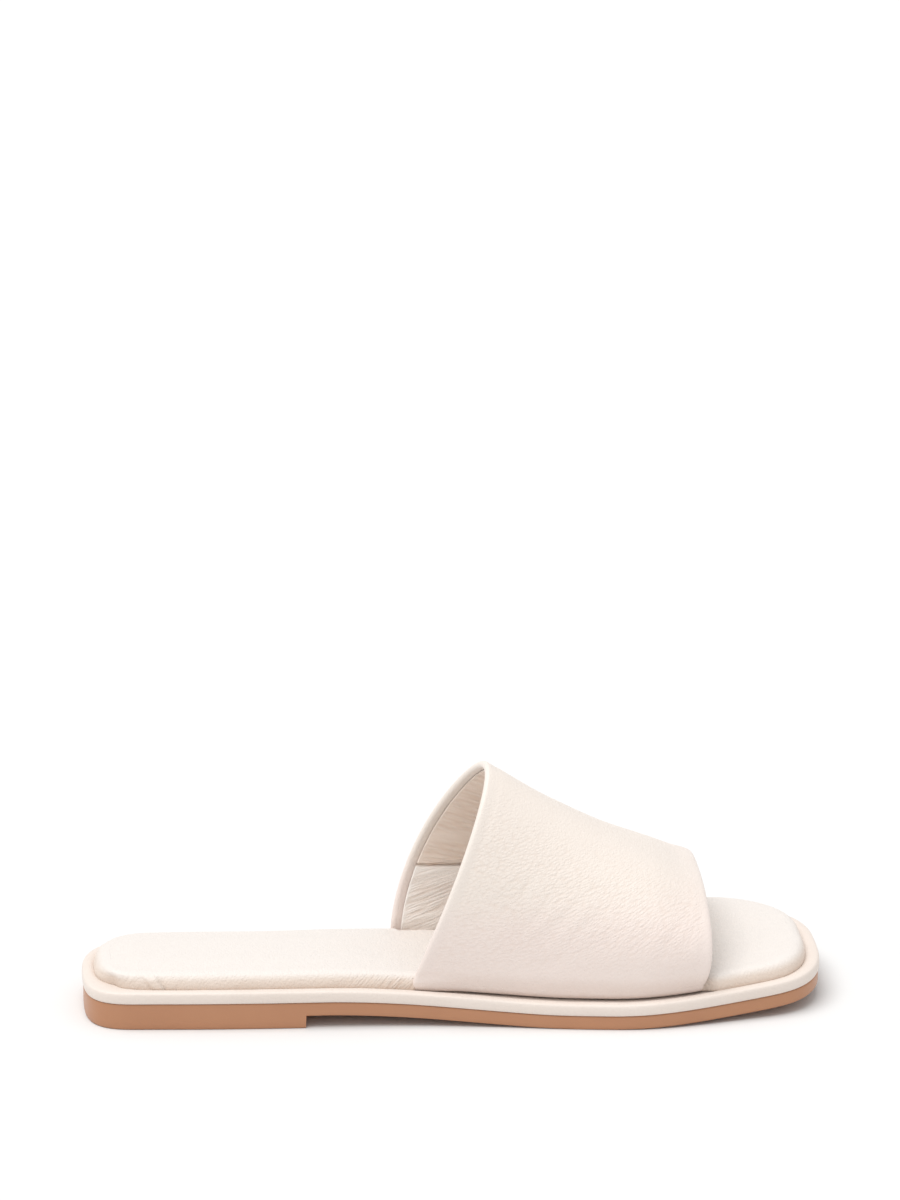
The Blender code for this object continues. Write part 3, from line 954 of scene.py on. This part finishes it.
def band_paths(alongs, arch_columns):
    """The middle of the band's wall: for each share along from rear to front, a row of points
    from margin to margin, the wall's thickness there, and the distance over the crown."""
    angle = math.pi * np.arange(PATH_SAMPLES + 1) / PATH_SAMPLES
    rows, walls = [], []
    for along in alongs:
        rise = INSTEP_RISE * through_table(BAND_SECTIONS, along, 1) - BAND_TURN
        rise -= FRONT_DROOP * (max(along - DROOP_START, 0) / (1 - DROOP_START)) ** 2
        power = 2 / through_table(BAND_SECTIONS, along, 2)
        bulge = BAND_SIDE_BULGE * through_table(BAND_SECTIONS, along, 4)
        feet = []
        for side in (-1, 1):
            place = rear_of(side) + along * (BAND_FRONT - rear_of(side))
            before, after = plan_y(place - SLOPE_STEP, side), plan_y(place + SLOPE_STEP, side)
            slope = np.array([2 * SLOPE_STEP, after - before])
            slope /= np.linalg.norm(slope)
            inward = -side * np.array([-slope[1], slope[0]])
            corner = np.array([place, plan_y(place, side)]) - MIDDLE
            seat = footbed_seat(place) + MARGIN_WALL / 2
            centre_in = band_inset(place, side) + BAND_TURN
            path = [(centre_in + MARGIN_REACH * k / MARGIN_COLUMNS, seat)
                    for k in range(MARGIN_COLUMNS, 0, -1)]
            for k in range(TURN_COLUMNS + 1):
                turn = math.pi / 2 * k / TURN_COLUMNS
                rise_of_turn = BAND_TURN * (1 - math.cos(turn))
                path.append((centre_in - BAND_TURN * math.sin(turn), seat + rise_of_turn))
            feet.append(np.array([[*(corner + inward * inset), up] for inset, up in path]))
        start, end = feet[0][-1], feet[1][-1]
        sides = np.where(angle < math.pi / 2, -1, 1)
        across = 0.5 - 0.5 * np.sign(np.cos(angle)) * np.abs(np.cos(angle)) ** power
        height = np.maximum(np.sin(angle), 0) ** power
        arch = start + (end - start) * across[:, None]
        lean = np.where(sides < 0, rear_lean(height, -1), rear_lean(height, 1))
        front = (BAND_FRONT_CROWN - BAND_FRONT) * height
        front = front + BAND_FRONT_BULGE * np.sin(math.pi * height**0.7)
        arch[:, 0] += lean * (1 - along) + front * along
        arch[:, 1] += sides * bulge * np.sin(math.pi * height)
        arch[:, 2] += rise * height
        wall = MARGIN_WALL + (BAND_WALL - MARGIN_WALL) * soft_step(rise * height / WALL_GROWTH)
        length = np.concatenate([[0], np.cumsum(np.linalg.norm(np.diff(arch, axis=0), axis=1))])
        even = np.linspace(0, length[-1], arch_columns + 1)
        arch = np.column_stack([np.interp(even, length, arch[:, k]) for k in range(3)])
        wall = np.interp(even, length, wall)
        rows.append(np.concatenate([feet[0][:-1], arch, feet[1][::-1][1:]]))
        edge = [MARGIN_WALL] * (len(feet[0]) - 1)
        walls.append(np.concatenate([edge, wall, edge]))
    rows, walls = np.array(rows), np.array(walls)
    steps = np.linalg.norm(np.diff(rows, axis=1), axis=2)
    over = np.concatenate([np.zeros((len(rows), 1)), np.cumsum(steps, axis=1)], axis=1)
    over -= over[:, over.shape[1] // 2][:, None]
    return rows, walls, over


def layer_rows(radius, rear_setback, front_setback, spacing):
    """Shares along the band for one layer, close together round its two folded edges, the
    share of its thickness that is left at each, and how many rows each edge has."""
    length = BAND_FRONT - BAND_REAR
    turns = [math.radians(turn) for turn in EDGE_TURNS_DEG]
    edge = [(radius * (1 - math.cos(turn)), math.sin(turn)) for turn in turns]
    start, end = rear_setback, length - front_setback
    rear_soft, front_soft = EDGE_SOFTNESS
    first = start + EDGE_CLEARANCE * radius * rear_soft
    last = end - EDGE_CLEARANCE * radius * front_soft
    count = round((last - first) / spacing / BACK_STEP) * BACK_STEP
    rows = [(start + depth * rear_soft, share) for depth, share in edge]
    rows += [(x, 1.0) for x in np.linspace(first, last, count + 1)]
    rows += [(end - depth * front_soft, share) for depth, share in reversed(edge)]
    shares = np.array(rows)
    return shares[:, 0] / length, shares[:, 1], len(edge)


def band_layer(name, face, back, seen_side, relief, hems, setbacks, spacing, arch_columns, material):
    """One layer of the band as a closed shell. face and back are its two sides, in walls out
    from the band's middle, and seen_side is 1 where the face shows and -1 where the back does.
    relief gives how far the seen side is moved out, in metres. hems are the widths of the folds
    at the rear and the front, where the layer fills the whole wall, and setbacks is how far it
    stays behind each edge. Away from the edges the hidden side has only every fourth row. Gives
    the object, its points, and their metres over the band, forward and from the nearer edge."""
    edge_back = HEM_BACK if hems[0] else back
    radius = (face - edge_back) * BAND_WALL / 2
    alongs, shares, edge_rows = layer_rows(radius, *setbacks, spacing)
    from_rear = alongs * (BAND_FRONT - BAND_REAR)
    from_front = BAND_FRONT - BAND_REAR - from_rear
    in_hem = (from_rear < hems[0]) | (from_front < hems[1])
    in_turn = np.minimum(from_rear, from_front) < HEM_TURN
    back = np.where(in_hem, np.where(in_turn, edge_back, HEM_FLAT_BACK), back)[:, None]
    middle, walls, over = band_paths(alongs, arch_columns)
    run = np.linalg.norm(np.diff(middle, axis=0), axis=2)
    forward = np.concatenate([np.zeros((1, middle.shape[1])), np.cumsum(run, axis=0)])
    outward = np.cross(np.gradient(middle, axis=0), np.gradient(middle, axis=1))
    outward /= np.linalg.norm(outward, axis=2)[:, :, None]
    centre = (face + back) / 2 * walls
    half = (face - back) / 2 * walls * shares[:, None]
    lift = relief(middle, over, forward) * shares[:, None]
    seen = middle + outward * (centre + seen_side * half + lift)[:, :, None]
    hidden = middle + outward * (centre - seen_side * half)[:, :, None]
    rows, columns = middle.shape[:2]
    fine_rows = edge_rows + HEM_ROWS
    kept = list(range(fine_rows)) + list(range(fine_rows, rows - fine_rows, BACK_STEP))
    kept += list(range(rows - fine_rows, rows))
    points = np.concatenate([seen.reshape(-1, 3), hidden[kept].reshape(-1, 3)])
    seen_at = np.arange(rows * columns).reshape(rows, columns)
    hidden_at = rows * columns + np.arange(len(kept) * columns).reshape(len(kept), columns)

    faces = []
    flip = seen_side < 0
    for table, turned in ((seen_at, flip), (hidden_at, not flip)):
        quads = np.stack([table[:-1, :-1], table[1:, :-1], table[1:, 1:], table[:-1, 1:]], axis=2)
        quads = quads.reshape(-1, 4)
        faces += (quads[:, ::-1] if turned else quads).tolist()
    for row, back_row, turned in ((0, 0, flip), (rows - 1, len(kept) - 1, not flip)):
        seen_row, hidden_row = seen_at[row], hidden_at[back_row]
        quads = np.column_stack([seen_row[:-1], seen_row[1:], hidden_row[1:], hidden_row[:-1]])
        faces += (quads[:, ::-1] if turned else quads).tolist()
    for column, turned in ((0, not flip), (columns - 1, flip)):
        for k, (low, high) in enumerate(zip(kept, kept[1:])):
            corners = [int(seen_at[i, column]) for i in range(low, high + 1)]
            corners += [int(hidden_at[k + 1, column]), int(hidden_at[k, column])]
            faces.append(corners[::-1] if turned else corners)
    made = make_object(name, points, faces, material)
    from_edge = np.minimum(forward, forward[-1][None, :] - forward)
    flat = np.stack([over, forward, from_edge], axis=2)
    flat = np.concatenate([flat.reshape(-1, 3), flat[kept].reshape(-1, 3)])
    return made, points, *flat.T


def crease_relief(x, z, table):
    """The height that a table of soft troughs and ridges gives at points of the side view."""
    height = np.zeros_like(x)
    for at_x, at_z, slant, reach, width, rise in table:
        angle = math.radians(slant)
        along = (x * 1000 - at_x) * math.cos(angle) + (z * 1000 - at_z) * math.sin(angle)
        aside = (z * 1000 - at_z) * math.cos(angle) - (x * 1000 - at_x) * math.sin(angle)
        aside = aside + 0.7 * np.sin(along / reach * 2.2 + at_x)
        height += rise / 1000 * np.exp(-((aside / width) ** 2)) * soft_step(1.4 - np.abs(along) / reach)
    return height


def outer_relief(middle, over, forward):
    """Soft creases listed one by one for the near side, the same kind mirrored loosely on the far
    side, long gentle waves, and a slight pull along the two folded edges. Behind, the turned foot is
    pressed down on the roll, and further on it stands clear of it."""
    x, z = middle[:, :, 0], middle[:, :, 2]
    far_table = [(at_x + 3.5 * math.sin(at_z), at_z + 2.0, slant + 4, reach * 0.9, width, rise)
                 for at_x, at_z, slant, reach, width, rise in CREASES]
    far_side = soft_step(0.5 + over / CROWN_BLEND)
    creases = crease_relief(x, z, CREASES) * (1 - far_side)
    creases = creases + crease_relief(x, z, far_table) * far_side
    waves = WAVE_HEIGHT * soft_noise((over + 0.4 * forward) / 0.021, forward / 0.034, 31)
    waves = waves + RIPPLE_HEIGHT * soft_noise(over / 0.007, forward / 0.011, 32)
    from_edge = np.minimum(forward, forward[-1][None, :] - forward)
    free = soft_step((from_edge - 0.001) / 0.004) * soft_step((z - FOOT_TOP) / 0.006)
    pull = EDGE_PULL * soft_step(1 - np.abs(from_edge - EDGE_PULL_AT) / EDGE_PULL_REACH)
    pressed = soft_step((FOOT_TOP + 0.001 - z) / 0.0035) * soft_step(1.25 - forward / FOOT_PRESS_REACH)
    relief = (creases + waves) * free - pull * soft_step((z - FOOT_TOP) / 0.004)
    return relief + FOOT_PRESS * pressed


# Nappa leather: soft full-grain sheepskin with a thin aniline finish, satin, with a fine
# pebble and short slanting break lines where the band was pulled over the last. The break lines
# are darkened with painted shade, and the band's upper part is painted a paler tone as light falling
# there.
nappa = leather_material(
    "cream_nappa_leather",
    "#EFE3DC",
    "#EADBD4",
    grain_mm=0.7,
    grain=0.00010,
    uneven=0.00006,
    rough=0.42,
    wrinkles=(0.00088, 0.0022, 0.00016, 0.20, "#ECE2D9"),
)
outer, points, over, forward, from_edge = band_layer(
    "band_outer",
    face=OUTER_FACE,
    back=OUTER_BACK,
    seen_side=1,
    relief=outer_relief,
    hems=(HEM_REAR, HEM_FRONT),
    setbacks=(0.0, 0.0),
    spacing=0.00066,
    arch_columns=300,
    material=nappa,
)
# The break lines run along arcs, flatter behind and steeper in front, and mirrored at the crown.
# On the unrolled band the arcs' centre lies 100 mm behind its rear edge and past the crown.
from_crown = np.abs(over)
offset = np.column_stack([forward, -from_crown]) - FAN_CENTRE
from_centre = np.linalg.norm(offset, axis=1)
round_centre = np.arctan2(offset[:, 1], offset[:, 0]) * FAN_RADIUS
above_foot = soft_step((points[:, 2] - 0.016) / 0.014)
beside_crown = soft_step((from_crown - 0.010) / 0.022)
# This share of the break lines also sets their painted shade.
share = (0.35 + 0.65 * above_foot * beside_crown) * soft_step((from_edge - 0.0008) / EDGE_CALM)
# Painted light: the band takes a paler tone above 30 mm, where more light falls.
add_wrinkle_map(outer, from_centre, round_centre, share, soft_step((points[:, 2] - 0.030) / 0.020))
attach(outer, "root")
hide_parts("upper_band")


# Band, lining: thin unfinished sheepskin under the whole band, set a little back from the outer
# layer's folded edges and glued to it. It is joined by a cross seam at each side, is painted paler
# below the seam as light falling there, and it wrinkles where the bent band presses it together,
# with painted shade in the folds and along the seam.
SEAM_HEIGHT = 0.0397
SEAM_SLOPE = 0.045
SEAM_WIDTH = 0.0005
SEAM_LAP = 0.00040
LINING_REAR_SETBACK = 0.0033
LINING_FRONT_SETBACK = 0.0034
FALL_ABOVE = 0.33
RISE_BELOW = 0.36
FOLDS_END = 0.034
FOLD_HEIGHT = 0.00022
CALM_HEIGHT = 0.00012
GROOVE_DEPTH = 0.00045
PUFF_REACH = 0.0028
# Extra fold share along the seam, mostly painted shade that darkens the seam's groove.
SEAM_FOLD_AND_SHADE = 2.0
GATHERED_ZONES = [
    # height over the seam, reach, both in metres
    (0.0040, 0.0040),
    (-0.0130, 0.0075),
]


def above_seam(z, forward):
    return z - SEAM_HEIGHT + SEAM_SLOPE * forward


def across_wrinkles(z, forward):
    """Metres across the lining's wrinkles: they fall forward above the seam and rise below it."""
    below = soft_step(0.5 - above_seam(z, forward) / 0.006)
    return z + (FALL_ABOVE - (RISE_BELOW + FALL_ABOVE) * below) * forward


def lining_relief(middle, over, forward):
    """Wrinkles that run in from the rear edge and die out, and the seam: its upper piece laps
    over the lower one, which is drawn into a groove and puffs up below it."""
    z = middle[:, :, 2]
    seam = above_seam(z, forward)
    drift = 0.0010 * soft_noise(forward / 0.009, over / 0.012, 41)
    fold = soft_noise((across_wrinkles(z, forward) + drift) / 0.0015, forward / 0.014, 42)
    near_seam = np.exp(-((seam / 0.003) ** 2))
    folds = FOLD_HEIGHT * fold * soft_step(1.15 - forward / FOLDS_END) * (1 - 0.7 * near_seam)
    calm = CALM_HEIGHT * soft_noise(over / 0.012, forward / 0.017, 44)
    lap = SEAM_LAP * np.exp(-np.maximum(seam, 0) / 0.004) * soft_step(seam / SEAM_WIDTH + 0.5)
    down = np.maximum(-seam, 0) / PUFF_REACH
    puff = SEAM_LAP * down * np.exp(1 - down)
    groove = GROOVE_DEPTH * np.exp(-(((seam + SEAM_WIDTH) / SEAM_WIDTH) ** 2))
    return folds + calm + groove - lap - puff


# Lining leather: sheepskin with its grain side in, undyed, drum-soft and matt, a warmer and
# deeper cream than the outside.
lining_leather = leather_material(
    "warm_lining_sheepskin",
    "#F5E8DC",
    "#EEDED1",
    grain_mm=0.8,
    grain=0.00006,
    uneven=0.00010,
    rough=0.52,
    wrinkles=(0.0010, 0.0070, 0.00048, 0.40, "#FAF4EE"),
)
lining, points, over, forward, from_edge = band_layer(
    "band_lining",
    face=LINING_FACE,
    back=LINING_BACK,
    seen_side=-1,
    relief=lining_relief,
    hems=(0.0, 0.0),
    setbacks=(LINING_REAR_SETBACK, LINING_FRONT_SETBACK),
    spacing=0.0013,
    arch_columns=560,
    material=lining_leather,
)
# The small folds are thickest just above the seam, higher up, and in a zone well below it.
# Their share also sets their painted shade, and the seam line gets extra painted shade.
seam = above_seam(points[:, 2], forward)
gathered = 0.25 + soft_step((seam - 0.011) / 0.004)
for height, reach in GATHERED_ZONES:
    gathered = gathered + np.exp(-(((seam - height) / reach) ** 2))
share = np.minimum(gathered, 1.0) * soft_step(1.25 - forward / FOLDS_END) * soft_step(from_edge / 0.002)
# Painted shade along the seam line.
share = share + SEAM_FOLD_AND_SHADE * np.exp(-(((seam + 0.0002) / SEAM_WIDTH) ** 2))
# Painted light: the lining below the seam takes the paler tone, for light falling on it there.
add_wrinkle_map(
    lining, across_wrinkles(points[:, 2], forward), forward, share, soft_step(-seam / 0.0012)
)
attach(lining, "root")
